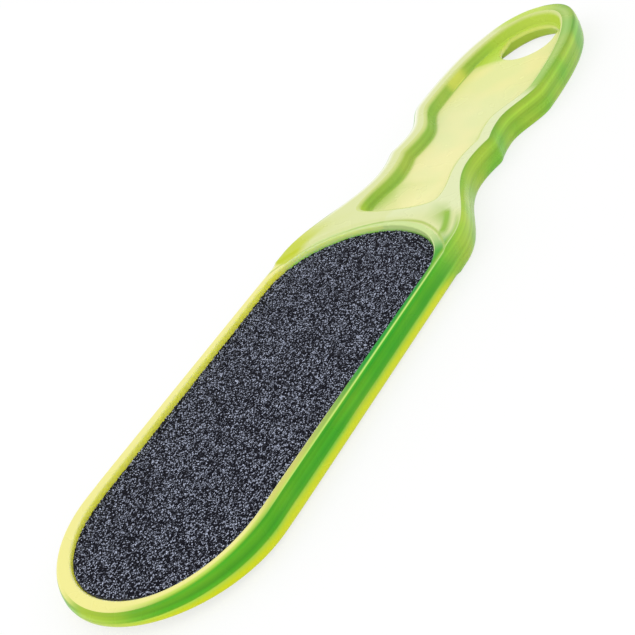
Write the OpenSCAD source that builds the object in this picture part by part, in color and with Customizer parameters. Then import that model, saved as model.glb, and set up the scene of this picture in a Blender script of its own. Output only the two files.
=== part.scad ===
// Two-sided foot file with a moulded body in one piece. The paddle has a sunk pocket in each
// face, and a sheet of coated abrasive is stuck down in each pocket. The handle is a thin web
// inside a raised rim, and the web stops short of the tip to leave an opening to hang it by.
// The toe of the paddle points to -X, the handle to +X, and the rear face lies on z = 0.
// Both faces are alike: what is cut in the front face is mirrored to the rear one. Heights are
// counted from the parting line round the middle until the part is put in its place.

/* [Overall] */
// Length from the toe of the paddle to the tip of the handle
length = 240; // [225:1:260]

/* [Paddle] */
// Width of the paddle where the rounded toe ends
paddle_w = 60; // [54:0.2:64]
// Thickness of the paddle across its two rims
paddle_t = 7.2; // [6.6:0.1:8]
// Length of the rounded toe
toe_len = 30.5; // [26:0.5:36]
// Thickness at the very toe
toe_t = 3.6; // [3:0.1:5]
// Length over which the paddle thins down to the toe
toe_dip_len = 42; // [38:0.5:50]
// Distance from the toe to the shoulder, where the paddle starts to narrow
shoulder_x = 121; // [116:0.5:126]
// Width at the shoulder
shoulder_w = 57.8; // [54:0.2:62]

/* [Handle] */
// How far the handle's rim stands up past the paddle's rim on each face
handle_rise = 0.45; // [0.3:0.05:1.2]
// Distance from the toe to the waist, in front of the finger ridge
waist_x = 156; // [151:0.5:159]
// Width at the waist
waist_w = 32; // [29:0.2:36]
// Distance from the toe to the finger ridge
ridge_x = 165.5; // [161:0.5:168]
// Width across the two finger ridges
ridge_w = 35.4; // [32:0.2:38]
// Distance from the toe to the dip behind the finger ridge
dip_x = 174.6; // [171:0.2:179]
// Width at the dip
dip_w = 32.6; // [29:0.2:36]
// Distance from the toe to the swell that fills the palm
palm_x = 191; // [186:0.5:200]
// Width at the swell
palm_w = 43.2; // [38:0.2:48]
// Fullness of the rounded tip, where 2 is an ellipse and more is squarer
tip_fullness_share = 2.3; // [1.9:0.05:2.6]

/* [Edge] */
// How far the parting line round the middle stands out past the flat of the rim
edge_bulge = 1.4; // [0.8:0.05:2]
// Fullness of the rounded edge, where 2 is an ellipse and more is squarer
edge_fullness_share = 2.7; // [2:0.05:3]

/* [Step] */
// Distance from the toe to the step up to the handle, on the centre line
step_x = 131.9; // [130.5:0.1:134.5]
// How far in front of the shoulder the step reaches the paddle's edges
step_lead = 5.5; // [2:0.5:8]
// Length that the sloping face of the step takes up
step_run = 1.2; // [0.4:0.1:2]

/* [Pads] */
// Flat of the rim beside the pocket
side_rim = 2.45; // [2.2:0.05:5]
// Flat of the rim in front of the pocket, at the toe
toe_rim = 3.15; // [1.2:0.05:5]
// Ledge between the pocket and the step up to the handle
heel_ledge = 1.7; // [1.2:0.1:5]
// Length of the pad's rounded toe end
pad_toe_len = 28; // [24:0.5:38]
// Fullness of the pad's toe end, where 2 is an ellipse and more is squarer
pad_toe_fullness_share = 2.1; // [2:0.05:3]
// Length of the pad's rounded end next to the handle
pad_heel_len = 21.5; // [18:0.5:26]
// Fullness of the pad's end next to the handle, where 2 is an ellipse and more is squarer
pad_heel_fullness_share = 2; // [1.9:0.05:2.6]
// Depth of each pocket below the rim
pocket_depth = 2.45; // [1.9:0.05:2.6]
// Gap between a pad and the wall of its pocket
pad_gap = 0.25; // [0.15:0.05:0.5]
// Thickness of the adhesive film under a pad
adhesive_t = 0.2; // [0.1:0.05:0.3]
// Thickness of the backing that carries the grit
backing_t = 0.5; // [0.3:0.05:0.7]
// Thickness of the coarse grit coat on the front pad
coarse_grit_t = 0.35; // [0.25:0.05:0.6]
// Thickness of the fine grit coat on the rear pad
fine_grit_t = 0.25; // [0.15:0.05:0.5]

/* [Handle recess] */
// Thickness of the web in the middle of the handle
web_t = 1.8; // [1.2:0.1:3]
// Flat between the step and the front end of the recess
bridge = 4; // [3:0.1:7]
// Width of the recess behind its rounded front end
recess_front_w = 26; // [22:0.5:30]
// Length of the recess's rounded front end
recess_front_len = 4.5; // [3:0.5:7]
// Flat of the rim beside the waist, the finger ridge and the dip
grip_rim = 4.2; // [3:0.1:6]
// Flat of the rim beside the palm swell
palm_rim = 3.4; // [2.4:0.1:5]
// Flat of the rim at the tip
tip_rim = 3.9; // [2:0.1:5]
// How far the recess walls lean in from the rim to the web
wall_draft = 1.2; // [0.4:0.1:1.6]

/* [Hang opening] */
// Length of the opening along the centre line
window_len = 19.4; // [14:0.1:24]
// Radius of the opening's end in the web
window_r = 9; // [8:0.5:12]
// Ledge of the web left along the inside of the tip
window_lip = 0.4; // [0.2:0.1:1]

/* [Hidden] */

// Angles of a quarter and a half turn
quarter = 90;
half_turn = 180;
// How far a cut runs on past the face that it opens
overrun = 1;
// Steps along the toe, the rest of its dip, the shoulder curve, one scallop, the swell and the tip
toe_steps = 12;
dip_steps = 3;
shoulder_steps = 14;
scallop_steps = 5;
swell_steps = 8;
tip_steps = 14;
// Steps up the rounded edge from the parting line to the rim
edge_steps = 5;
// Steps across the body along the arc of the step
arc_steps = 16;
// Steps round the corner of a recess or the end of a pad
end_steps = 12;
// Fullness of the recess's front corners, where 2 is an ellipse and more is squarer
recess_corner_fullness_share = 3;
// Sides of the round cutters
round_sides = 96;

body_colour = [0.66, 0.82, 0.28];
adhesive_colour = [0.9, 0.88, 0.8];
backing_colour = [0.45, 0.36, 0.26];
coarse_colour = [0.2, 0.21, 0.28];
fine_colour = [0.3, 0.31, 0.38];

half_toe_t = toe_t / 2;
half_paddle_t = paddle_t / 2;
half_t = half_paddle_t + handle_rise;
half_web_t = web_t / 2;

// The pad and its pocket share these values, and the pocket is larger by the gap all round
pocket_floor_z = half_paddle_t - pocket_depth;
pad_half_w = paddle_w / 2 - edge_bulge - side_rim - pad_gap;
pad_toe_x = edge_bulge + toe_rim + pad_gap;
pad_heel_x = step_x - heel_ledge - pad_gap;

step_edge_x = shoulder_x - step_lead;

recess_x = step_x + step_run + bridge;
recess_front_end_x = recess_x + recess_front_len;
recess_end_x = length - edge_bulge - tip_rim;
// How far the recess walls lean for each unit of height
recess_lean = wall_draft / (half_t - half_web_t);

window_end_x = recess_end_x - wall_draft - window_lip;
window_x = window_end_x - window_len;

// Smooth rise from 0 to 1 with level ends
function ease(t) = (1 - cos(half_turn * t)) / 2;

// Height of a rounded end of unit size at t of its length, where 0 is its full width
function rounded(t, fullness) = pow(max(0, 1 - pow(t, fullness)), 1 / fullness);

function between(x, xa, ya, xb, yb) = ya + (yb - ya) * ease((x - xa) / (xb - xa));

// Curve that is level at the low point and meets the next scallop in a soft ridge
function scallop(x, x_low, y_low, x_ridge, y_ridge) =
    y_low + (y_ridge - y_low) * pow((x - x_low) / (x_ridge - x_low), 2);

// Half width of the handle from the waist to the tip, narrower by the rim where one is given
function grip_half(x, at_grip, at_palm, end_x) =
    x < ridge_x ? scallop(x, waist_x, waist_w / 2 - at_grip, ridge_x, ridge_w / 2 - at_grip) :
    x < dip_x ? scallop(x, dip_x, dip_w / 2 - at_grip, ridge_x, ridge_w / 2 - at_grip) :
    x < palm_x ? between(x, dip_x, dip_w / 2 - at_grip, palm_x, palm_w / 2 - at_palm) :
    (palm_w / 2 - at_palm) * rounded((x - palm_x) / (end_x - palm_x), tip_fullness_share);

// Half width of the body at its parting line
function body_half(x) =
    x < toe_len ? paddle_w / 2 * rounded(1 - x / toe_len, 2) :
    x < shoulder_x ? paddle_w / 2
        + (shoulder_w - paddle_w) / 2 * (x - toe_len) / (shoulder_x - toe_len) :
    x < waist_x ? between(x, shoulder_x, shoulder_w / 2, waist_x, waist_w / 2) :
    grip_half(x, 0, 0, length);

// Half thickness of the body at its rims
function rim_half_t(x) =
    x < toe_dip_len ? half_paddle_t - (half_paddle_t - half_toe_t) * pow(1 - x / toe_dip_len, 2) :
    half_paddle_t + handle_rise * min(max((x - step_edge_x) / step_run, 0), 1);

// Half width of the handle recess at the rim
function recess_half(x) =
    x < recess_front_end_x ? recess_front_w / 2
        * rounded((recess_front_end_x - x) / recess_front_len, recess_corner_fullness_share) :
    x < waist_x ? between(x, recess_front_end_x, recess_front_w / 2,
        waist_x, waist_w / 2 - edge_bulge - grip_rim) :
    grip_half(x, edge_bulge + grip_rim, edge_bulge + palm_rim, recess_end_x);

// Stations along an end of a given length, close together where the end is blunt
function end_stations(x, run, n) = [for (i = [0:n - 1]) x + run * (1 - cos(quarter * i / n))];
function run_stations(xa, xb, n) = [for (i = [0:n - 1]) xa + (xb - xa) * i / n];
function tip_stations(xa, xb, n) = [for (i = [0:n]) xa + (xb - xa) * sin(quarter * i / n)];

grip_stations = concat(
    run_stations(waist_x, ridge_x, scallop_steps),
    run_stations(ridge_x, dip_x, scallop_steps),
    run_stations(dip_x, palm_x, swell_steps)
);
body_stations = concat(
    end_stations(0, toe_len, toe_steps),
    run_stations(toe_len, toe_dip_len, dip_steps),
    [toe_dip_len, step_edge_x, step_edge_x + step_run],
    run_stations(shoulder_x, waist_x, shoulder_steps),
    grip_stations,
    tip_stations(palm_x, length, tip_steps)
);
recess_stations = concat(
    end_stations(recess_x, recess_front_len, end_steps),
    run_stations(recess_front_end_x, waist_x, scallop_steps),
    grip_stations,
    tip_stations(palm_x, recess_end_x, tip_steps)
);

function last(list) = len(list) - 1;

// Closed outline from stations and their half widths, round one side and back along the other
function mirrored_outline(xs, ys) = concat(
    [for (i = [0:last(xs)]) [xs[i], -ys[i]]],
    [for (i = [last(xs) - 1:-1:1]) [xs[i], ys[i]]]
);
body_outline = mirrored_outline(body_stations, [for (x = body_stations) body_half(x)]);
recess_outline = mirrored_outline(recess_stations, [for (x = recess_stations) recess_half(x)]);

// A point drawn in by some distance, straight towards a spine on the centre line
function drawn_in(p, by, spine_a, spine_b) =
    let (s = [min(max(p.x, spine_a), spine_b), 0])
    let (away = p - s)
    p - by * away / norm(away);

// Outline of a pad, or of its pocket when it is grown by the gap
function pad_outline(grow) =
    let (half_w = pad_half_w + grow)
    let (toe_run = pad_toe_len + grow)
    let (heel_run = pad_heel_len + grow)
    let (toe_end_x = pad_toe_x + pad_toe_len)
    let (heel_start_x = pad_heel_x - pad_heel_len)
    let (toe = end_stations(pad_toe_x - grow, toe_run, end_steps))
    let (heel = tip_stations(heel_start_x, pad_heel_x + grow, end_steps))
    mirrored_outline(
        concat(toe, toe_end_x, heel),
        half_w * concat(
            [for (x = toe) rounded((toe_end_x - x) / toe_run, pad_toe_fullness_share)],
            1,
            [for (x = heel) rounded((x - heel_start_x) / heel_run, pad_heel_fullness_share)]
        )
    );

// Faces of the wall through rings of n points each, which follow each other from the bottom up
function wall_faces(n, rings) = [
    for (k = [0:rings - 2])
        for (i = [0:n - 1])
            let (a = k * n + i)
            let (b = k * n + (i + 1) % n)
            each [[a, a + n, b + n], [a, b + n, b]]
];

// Faces across one side of a mirrored outline of n points, in strips from a station to the far end
function strip_faces(ring, n, station) = concat(
    [for (i = [station:n / 2 - 2]) [ring + i, ring + n - i, ring + n - i - 1, ring + i + 1]],
    [[ring + n / 2 - 1, ring + n / 2 + 1, ring + n / 2]]
);

// Faces across the whole of one side of a mirrored outline
function cap_faces(ring, n) = concat([[ring, ring + n - 1, ring + 1]], strip_faces(ring, n, 1));

function turned_over(faces) = [for (face = faces) [for (i = [last(face):-1:0]) face[i]]];

// Points of the step's arc between its ends, from the right side of the body to the left
function arc_points(arc_end, middle_x) =
    let (sag = middle_x - arc_end.x)
    let (r = (pow(sag, 2) + pow(arc_end.y, 2)) / (2 * sag))
    let (reach = atan2(abs(arc_end.y), r - sag))
    [
        for (j = [1:arc_steps - 1])
            let (a = reach * (2 * j / arc_steps - 1))
            [middle_x - r + r * cos(a), r * sin(a)]
    ];

// Rounded share of a rise, taken the same way up and down
function rounded_sine(a) = sign(a) * pow(abs(sin(a)), 2 / edge_fullness_share);
function rounded_cosine(a) = pow(cos(a), 2 / edge_fullness_share);

// One level of the body's rounded edge, from -90 at the rear rim to 90 at the front rim
function edge_ring(a) =
    let (by = edge_bulge * (1 - rounded_cosine(a)))
    [
        for (p = body_outline)
            let (q = drawn_in(p, by, toe_len, palm_x))
            [q.x, q.y, rim_half_t(p.x) * rounded_sine(a)]
    ];

// One level of the handle recess, drawn in from the rim by some distance
function recess_ring(by, z) =
    [for (p = recess_outline) let (q = drawn_in(p, by, waist_x, palm_x)) [q.x, q.y, z]];

// The body before its pockets, recesses and opening are cut
module blank() {
    n = len(body_outline);
    rings = [for (k = [-edge_steps:edge_steps]) edge_ring(quarter * k / edge_steps)];
    // Stations at the foot of the step, at its head and behind the whole of it
    foot = toe_steps + dip_steps + 1;
    head = foot + 1;
    behind = [for (i = [0:last(body_stations)]) if (body_stations[i] > step_x + step_run) i][0];
    crest = rings[last(rings)];
    foot_arc = arc_points(crest[foot], step_x);
    head_arc = arc_points(crest[head], step_x + step_run);
    arc_sets = [
        for (z = [half_paddle_t, half_t, -half_paddle_t, -half_t])
            [for (p = abs(z) == half_t ? head_arc : foot_arc) [p.x, p.y, z]]
    ];
    points = [for (set = concat(rings, arc_sets)) for (p = set) p];

    // Faces of one side, whose ring and arcs start at the given points
    function side_faces(ring, arcs) =
        let (foot_line = concat(ring + foot, [for (j = [0:arc_steps - 2]) arcs + j], ring + n - foot))
        let (head_line = concat(
            ring + head, [for (j = [0:arc_steps - 2]) arcs + arc_steps - 1 + j], ring + n - head))
        concat(
            [[ring, ring + n - 1, ring + 1]],
            [for (i = [1:foot - 1]) [ring + i, ring + n - i, ring + n - i - 1, ring + i + 1]],
            turned_over([foot_line]),
            [
                for (j = [0:arc_steps - 1])
                    each [
                        [foot_line[j], foot_line[j + 1], head_line[j + 1]],
                        [foot_line[j], head_line[j + 1], head_line[j]]
                    ]
            ],
            [
                for (j = [0:arc_steps - 1])
                    [head_line[j], head_line[j + 1], 2 * j < arc_steps ? ring + behind : ring + n - behind]
            ],
            [[head_line[arc_steps / 2], ring + n - behind, ring + behind]],
            [[ring + head, for (i = [behind:-1:head + 1]) ring + i]],
            [[for (i = [n - head:-1:n - behind]) ring + i]],
            strip_faces(ring, n, behind)
        );

    front_arcs = n * len(rings);
    rear_arcs = front_arcs + 2 * len(foot_arc);
    polyhedron(points, concat(
        wall_faces(n, len(rings)),
        side_faces(n * last(rings), front_arcs),
        turned_over(side_faces(0, rear_arcs))
    ));
}

module pocket_cut() {
    translate([0, 0, pocket_floor_z])
        linear_extrude(pocket_depth + overrun)
            polygon(pad_outline(pad_gap));
}

module recess_cut() {
    n = len(recess_outline);
    rings = [
        recess_ring(wall_draft, half_web_t),
        recess_ring(-recess_lean * overrun, half_t + overrun)
    ];
    polyhedron(
        [for (ring = rings) for (p = ring) p],
        concat(turned_over(cap_faces(0, n)), wall_faces(n, len(rings)), cap_faces(n, n))
    );
}

// Opening through the web, inside the rim of the tip
module window_cut() {
    translate([0, 0, -half_t])
        linear_extrude(2 * half_t)
            intersection() {
                polygon([for (p = recess_ring(wall_draft + window_lip, 0)) [p.x, p.y]]);
                translate([window_x + window_r, 0]) {
                    circle(window_r, $fn = round_sides);
                    translate([0, -window_r])
                        square([length - window_x, 2 * window_r]);
                }
            }
}

module on_both_faces() {
    children();
    mirror([0, 0, 1])
        children();
}

// Moves the part so that its box is centred over the origin and stands on z = 0
module placed() {
    translate([-length / 2, 0, half_t])
        children();
}

// One layer of a pad, above the pocket floor by what lies under it
module pad_layer(under, thickness) {
    translate([0, 0, pocket_floor_z + under])
        linear_extrude(thickness)
            polygon(pad_outline(0));
}

module on_rear() {
    placed()
        mirror([0, 0, 1])
            children();
}

module body() {
    color(body_colour)
        placed()
            difference() {
                blank();
                on_both_faces() {
                    pocket_cut();
                    recess_cut();
                }
                window_cut();
            }
}

module front_adhesive() {
    color(adhesive_colour)
        placed()
            pad_layer(0, adhesive_t);
}

module front_backing() {
    color(backing_colour)
        placed()
            pad_layer(adhesive_t, backing_t);
}

module front_grit() {
    color(coarse_colour)
        placed()
            pad_layer(adhesive_t + backing_t, coarse_grit_t);
}

module rear_adhesive() {
    color(adhesive_colour)
        on_rear()
            pad_layer(0, adhesive_t);
}

module rear_backing() {
    color(backing_colour)
        on_rear()
            pad_layer(adhesive_t, backing_t);
}

module rear_grit() {
    color(fine_colour)
        on_rear()
            pad_layer(adhesive_t + backing_t, fine_grit_t);
}

body();
front_adhesive();
front_backing();
front_grit();
rear_adhesive();
rear_backing();
rear_grit();
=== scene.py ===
import math

import bmesh
import bpy
import numpy as np
from mathutils import Euler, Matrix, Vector
from mathutils.geometry import delaunay_2d_cdt


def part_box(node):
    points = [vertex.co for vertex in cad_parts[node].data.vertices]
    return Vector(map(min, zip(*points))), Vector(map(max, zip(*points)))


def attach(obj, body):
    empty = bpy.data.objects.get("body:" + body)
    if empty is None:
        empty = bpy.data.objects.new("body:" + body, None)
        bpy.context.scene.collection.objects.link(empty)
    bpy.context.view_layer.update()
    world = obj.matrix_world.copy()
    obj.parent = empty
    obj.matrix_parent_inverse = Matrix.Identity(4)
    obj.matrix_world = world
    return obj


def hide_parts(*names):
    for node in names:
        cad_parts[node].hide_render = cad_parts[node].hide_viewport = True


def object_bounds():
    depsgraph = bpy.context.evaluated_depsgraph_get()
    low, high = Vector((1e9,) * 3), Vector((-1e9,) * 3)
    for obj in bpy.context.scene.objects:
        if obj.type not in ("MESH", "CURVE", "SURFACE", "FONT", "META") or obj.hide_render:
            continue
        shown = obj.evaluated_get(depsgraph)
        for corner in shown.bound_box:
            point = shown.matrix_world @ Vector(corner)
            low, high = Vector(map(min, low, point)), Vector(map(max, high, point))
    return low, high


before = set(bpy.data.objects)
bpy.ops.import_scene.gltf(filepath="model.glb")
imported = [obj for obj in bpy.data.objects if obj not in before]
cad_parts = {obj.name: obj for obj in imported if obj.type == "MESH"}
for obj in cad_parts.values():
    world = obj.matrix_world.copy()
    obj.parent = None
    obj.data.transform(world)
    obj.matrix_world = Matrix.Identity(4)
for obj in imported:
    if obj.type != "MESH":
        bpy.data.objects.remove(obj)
cad_low, cad_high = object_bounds()

# Sizes are in millimetres. They are counted from the toe, the centre line and the parting line,
# and put into metres and into the frame when a mesh is made.
MM = 0.001


def size_of(node):
    """Lowest and highest corner of a CAD node in millimetres."""
    low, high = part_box(node)
    return Vector(low) / MM, Vector(high) / MM


# Body sizes that the frame gives
body_low, body_high = size_of("body")
LENGTH = body_high.x - body_low.x
PADDLE_W = body_high.y - body_low.y
HALF_T = (body_high.z - body_low.z) / 2
ORIGIN = Vector((body_low.x, 0, (body_low.z + body_high.z) / 2))

# Paddle
HALF_PADDLE_T = 3.6
HALF_TOE_T = 1.8
TOE_LEN = 30.5
TOE_DIP_LEN = 42
SHOULDER_X = 121
SHOULDER_W = 57.8

# Handle
WAIST_X = 156
WAIST_W = 32
RIDGE_X = 165.5
RIDGE_W = 35.4
RIDGE_ROUND = 0.7
DIP_X = 174.6
DIP_W = 32.6
PALM_X = 191
PALM_W = 43.2
TIP_FULLNESS = 2.3

# Edge
EDGE_BULGE = 1.4
EDGE_FULLNESS = 2.7
SEAM_HEIGHT = 0.06
SEAM_HALF_WIDTH = 0.14

# Step
STEP_X = 131.9
STEP_EDGE_X = 115.5
STEP_RUN = 1.2

# Pads, as the frame gives them
backing_low, backing_high = size_of("front_backing")
grit_low, grit_high = size_of("front_grit")
rear_grit_low, rear_grit_high = size_of("rear_grit")
adhesive_low, _ = size_of("front_adhesive")
PAD_TOE_X = backing_low.x - ORIGIN.x
PAD_HEEL_X = backing_high.x - ORIGIN.x
PAD_HALF_W = backing_high.y
POCKET_FLOOR = adhesive_low.z - ORIGIN.z
PAD_GAP = 0.25
SIDE_RIM = PADDLE_W / 2 - EDGE_BULGE - PAD_HALF_W - PAD_GAP
PAD_TOE_LEN = 28
PAD_TOE_FULLNESS = 2.1
PAD_HEEL_LEN = 21.5
PAD_HEEL_FULLNESS = 2
POCKET_ROUND = 0.35

# Handle recess and opening
HALF_WEB_T = 0.9
RECESS_X = 137.1
RECESS_FRONT_W = 26
RECESS_FRONT_LEN = 4.5
RECESS_CORNER_FULLNESS = 3
GRIP_RIM = 4.2
PALM_RIM = 3.4
TIP_RIM = 3.9
WALL_DRAFT = 1.2
RECESS_ROUND = 1
WEB_ROUND = 0.35
PROFILE_RUN = 2
WINDOW_LEN = 19.4
WINDOW_R = 9
WINDOW_LIP = 0.4
WINDOW_ROUND = 0.25

# Grains of the two grit coats: their pitch, their scatter as a share of it, and their height from
# a least share of the coat up to all of it, with more low grains than high ones
GRAIN = 0.34
FINE_GRAIN = 0.45
GRAIN_SCATTER = 0.3
GRAIN_LEAST_SHARE = 0.35
GRAIN_SKEW = 1.5
GRAIN_MARGIN = 0.05
FRONT_SEED = 7
REAR_SEED = 11

# Mesh detail: how many stations each run of an outline has
TOE_STEPS = 56
SIDE_STEPS = 40
SHOULDER_STEPS = 50
NECK_STEPS = 56
GRIP_STEPS = 24
SWELL_STEPS = 30
TIP_STEPS = 64
RECESS_CORNER_STEPS = 36
RECESS_NECK_STEPS = 24
PAD_END_STEPS = 60
PAD_SIDE_STEPS = 50
WINDOW_END_STEPS = 30
WINDOW_SIDE_STEPS = 8
POCKET_ROUND_STEPS = 6
WINDOW_ROUND_STEPS = 4
CORNER_STEPS = 7

# Where the stations lie close together at the shoulders, and where the lines beside the pocket
# give way to those of the handle
SHOULDER_FINE_FROM = STEP_EDGE_X - 4
SHOULDER_FINE_TO = SHOULDER_X + 3
LAND_LINES_TO = SHOULDER_X - 6

# Settings of Blender's tools: points nearer than the merge distance become one, a fill keeps the
# triangles inside its outline, and large faces count fully in the smooth shading
MERGE_DISTANCE = 0.002
FILL_INSIDE = 1
FILL_TOLERANCE = 1e-7
NORMAL_WEIGHT = 100

# Rows of the outer edge: low down as shares of its height, higher up as the share of its depth
# that is left
EDGE_LOW_ROWS = (0, 0.02, 0.04, 0.06, 0.1, 0.16, 0.24, 0.34, 0.46, 0.58, 0.7, 0.8, 0.88)
EDGE_HIGH_ROWS = (0.6, 0.52, 0.44, 0.36, 0.28, 0.2, 0.12, 0.06, 0)
POCKET_WALL_ROWS = (0.33, 0.66, 1)

# Lines that give flat faces enough points to carry their shades
STEP_LINES = (
    -1.8, -1.4, -1, -0.7, -0.45, -0.2, 0, 0.12, 0.25, 0.38, 0.5, 0.62, 0.75, 0.88, 1, 1.2,
)
STEP_LINE_TURN = 1.2
STEP_LINE_POINTS = 161
STEP_LINE_MARGIN = 0.1
LAND_LINES = (0.15, 0.3, 0.45, 0.6, 0.75, 0.9)
LAND_LINE_MARGIN = 0.05
HANDLE_LINES = (0.5, 1.2, 2, 2.8)
HANDLE_LINE_MARGIN = 0.2
SHOULDER_LINES = (3.7, 4.6, 5.5)
SHOULDER_LINES_TO = 134
WEB_LINES = (0.5, 1, 1.6)


def ease(t):
    """Smooth rise from 0 to 1 with level ends."""
    return (1 - np.cos(math.pi * t)) / 2


def rounded(t, fullness):
    """Height of a rounded end of unit size at t of its length."""
    return np.maximum(0, 1 - np.clip(t, 0, 1) ** fullness) ** (1 / fullness)


def between(x, xa, ya, xb, yb):
    """Smooth curve from one point to another, level at both."""
    return ya + (yb - ya) * ease((x - xa) / (xb - xa))


def scallop(x, x_low, y_low, x_ridge, y_ridge):
    """Curve that is level at the low point and meets the next one in a soft ridge."""
    return y_low + (y_ridge - y_low) * ((x - x_low) / (x_ridge - x_low)) ** 2


def soft_least(one, other, reach):
    """The lesser of two curves, rounded where they cross."""
    close = np.maximum(reach - np.abs(one - other), 0) / reach
    return np.minimum(one, other) - close**2 * reach / 4


def smooth(low, high, value):
    """Smooth rise from 0 at low to 1 at high."""
    t = np.clip((value - low) / (high - low), 0, 1)
    return t * t * (3 - 2 * t)


def span(value, low, high, soft):
    """1 between two values and 0 outside them, with soft sides."""
    return smooth(low - soft, low, value) * (1 - smooth(high, high + soft, value))


def line_at(value, middle, half_width):
    """1 on a line and 0 beside it, with soft sides."""
    return np.clip(1 - np.abs(value - middle) / half_width, 0, 1)


def grip_half(x, at_grip, at_palm, end_x):
    """Half width of the handle from the waist to the tip, less a rim."""
    first = scallop(x, WAIST_X, WAIST_W / 2 - at_grip, RIDGE_X, RIDGE_W / 2 - at_grip)
    second = scallop(x, DIP_X, DIP_W / 2 - at_grip, RIDGE_X, RIDGE_W / 2 - at_grip)
    swell = between(x, DIP_X, DIP_W / 2 - at_grip, PALM_X, PALM_W / 2 - at_palm)
    tip = (PALM_W / 2 - at_palm) * rounded((x - PALM_X) / (end_x - PALM_X), TIP_FULLNESS)
    ridge = soft_least(first, second, RIDGE_ROUND)
    return np.select([x < DIP_X, x < PALM_X], [ridge, swell], tip)


def body_half(x):
    """Half width of the body at its parting line."""
    toe = PADDLE_W / 2 * rounded(1 - x / TOE_LEN, 2)
    side = PADDLE_W / 2 + (SHOULDER_W - PADDLE_W) / 2 * (x - TOE_LEN) / (SHOULDER_X - TOE_LEN)
    neck = between(x, SHOULDER_X, SHOULDER_W / 2, WAIST_X, WAIST_W / 2)
    grip = grip_half(x, 0, 0, LENGTH)
    return np.select([x < TOE_LEN, x < SHOULDER_X, x < WAIST_X], [toe, side, neck], grip)


recess_front_end = RECESS_X + RECESS_FRONT_LEN
recess_end = LENGTH - EDGE_BULGE - TIP_RIM


def recess_half(x):
    """Half width of the handle recess at the rim."""
    front_half = RECESS_FRONT_W / 2
    back = (recess_front_end - x) / RECESS_FRONT_LEN
    front = front_half * rounded(back, RECESS_CORNER_FULLNESS)
    waist_half = WAIST_W / 2 - EDGE_BULGE - GRIP_RIM
    neck = between(x, recess_front_end, front_half, WAIST_X, waist_half)
    grip = grip_half(x, EDGE_BULGE + GRIP_RIM, EDGE_BULGE + PALM_RIM, recess_end)
    return np.select([x < recess_front_end, x < WAIST_X], [front, neck], grip)


def front_stations(start, run, count):
    """Stations along a blunt front end, close together where it is blunt."""
    return start + run * (1 - np.cos(math.pi / 2 * np.arange(count) / count))


def end_stations(start, end, count):
    """Stations along a blunt rear end, its last point with them."""
    return start + (end - start) * np.sin(math.pi / 2 * np.arange(count + 1) / count)


def even_stations(start, end, count):
    """Evenly spaced stations up to an end that is not among them."""
    return start + (end - start) * np.arange(count) / count


def mirrored(x, half):
    """Closed outline round one side and back along the other."""
    right = np.column_stack([x, -half])
    left = np.column_stack([x, half])[-2:0:-1]
    return np.vstack([right, left])


grip_stations = np.concatenate([
    even_stations(WAIST_X, RIDGE_X, GRIP_STEPS),
    even_stations(RIDGE_X, DIP_X, GRIP_STEPS),
    even_stations(DIP_X, PALM_X, SWELL_STEPS),
])
body_x = np.concatenate([
    front_stations(0, TOE_LEN, TOE_STEPS),
    even_stations(TOE_LEN, SHOULDER_FINE_FROM, SIDE_STEPS),
    even_stations(SHOULDER_FINE_FROM, SHOULDER_FINE_TO, SHOULDER_STEPS),
    even_stations(SHOULDER_FINE_TO, WAIST_X, NECK_STEPS),
    grip_stations,
    end_stations(PALM_X, LENGTH, TIP_STEPS),
])
recess_x = np.concatenate([
    front_stations(RECESS_X, RECESS_FRONT_LEN, RECESS_CORNER_STEPS),
    even_stations(recess_front_end, WAIST_X, RECESS_NECK_STEPS),
    grip_stations,
    end_stations(PALM_X, recess_end, TIP_STEPS),
])
body_outline = mirrored(body_x, body_half(body_x))
recess_outline = mirrored(recess_x, recess_half(recess_x))


def drawn_in(points, by, spine_a, spine_b):
    """Points moved straight towards a spine on the centre line."""
    spine = np.column_stack([np.clip(points[:, 0], spine_a, spine_b), np.zeros(len(points))])
    away = points - spine
    return points - by * away / np.linalg.norm(away, axis=1)[:, None]


def body_ring(by):
    """Outline of the body drawn in by some distance."""
    return drawn_in(body_outline, by, TOE_LEN, PALM_X)


def recess_ring(by):
    """Outline of the recess drawn in by some distance."""
    return drawn_in(recess_outline, by, WAIST_X, PALM_X)


def pad_ring(grow):
    """Outline of a pad grown by some distance."""
    toe_run, heel_run = PAD_TOE_LEN + grow, PAD_HEEL_LEN + grow
    toe_end, heel_start = PAD_TOE_X + PAD_TOE_LEN, PAD_HEEL_X - PAD_HEEL_LEN
    toe_x = front_stations(PAD_TOE_X - grow, toe_run, PAD_END_STEPS)
    side_x = even_stations(toe_end, heel_start, PAD_SIDE_STEPS)
    heel_x = end_stations(heel_start, PAD_HEEL_X + grow, PAD_END_STEPS)
    half = (PAD_HALF_W + grow) * np.concatenate([
        rounded((toe_end - toe_x) / toe_run, PAD_TOE_FULLNESS),
        np.ones(len(side_x)),
        rounded((heel_x - heel_start) / heel_run, PAD_HEEL_FULLNESS),
    ])
    return mirrored(np.concatenate([toe_x, side_x, heel_x]), half)


# Arc of the step's foot, through its middle and its two ends on the flat of the rim
crest = body_ring(EDGE_BULGE)
crest_right = crest[: len(body_x)]
step_edge_y = np.interp(STEP_EDGE_X, crest_right[:, 0], -crest_right[:, 1])
step_sag = STEP_X - STEP_EDGE_X
step_r = (step_sag**2 + step_edge_y**2) / (2 * step_sag)
step_centre = STEP_X - step_r


def past_step(points):
    """Distance of plan points past the foot of the step."""
    x, y = points[:, 0], points[:, 1]
    return np.where(x < step_centre, -step_r, np.hypot(x - step_centre, y) - step_r)


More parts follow.
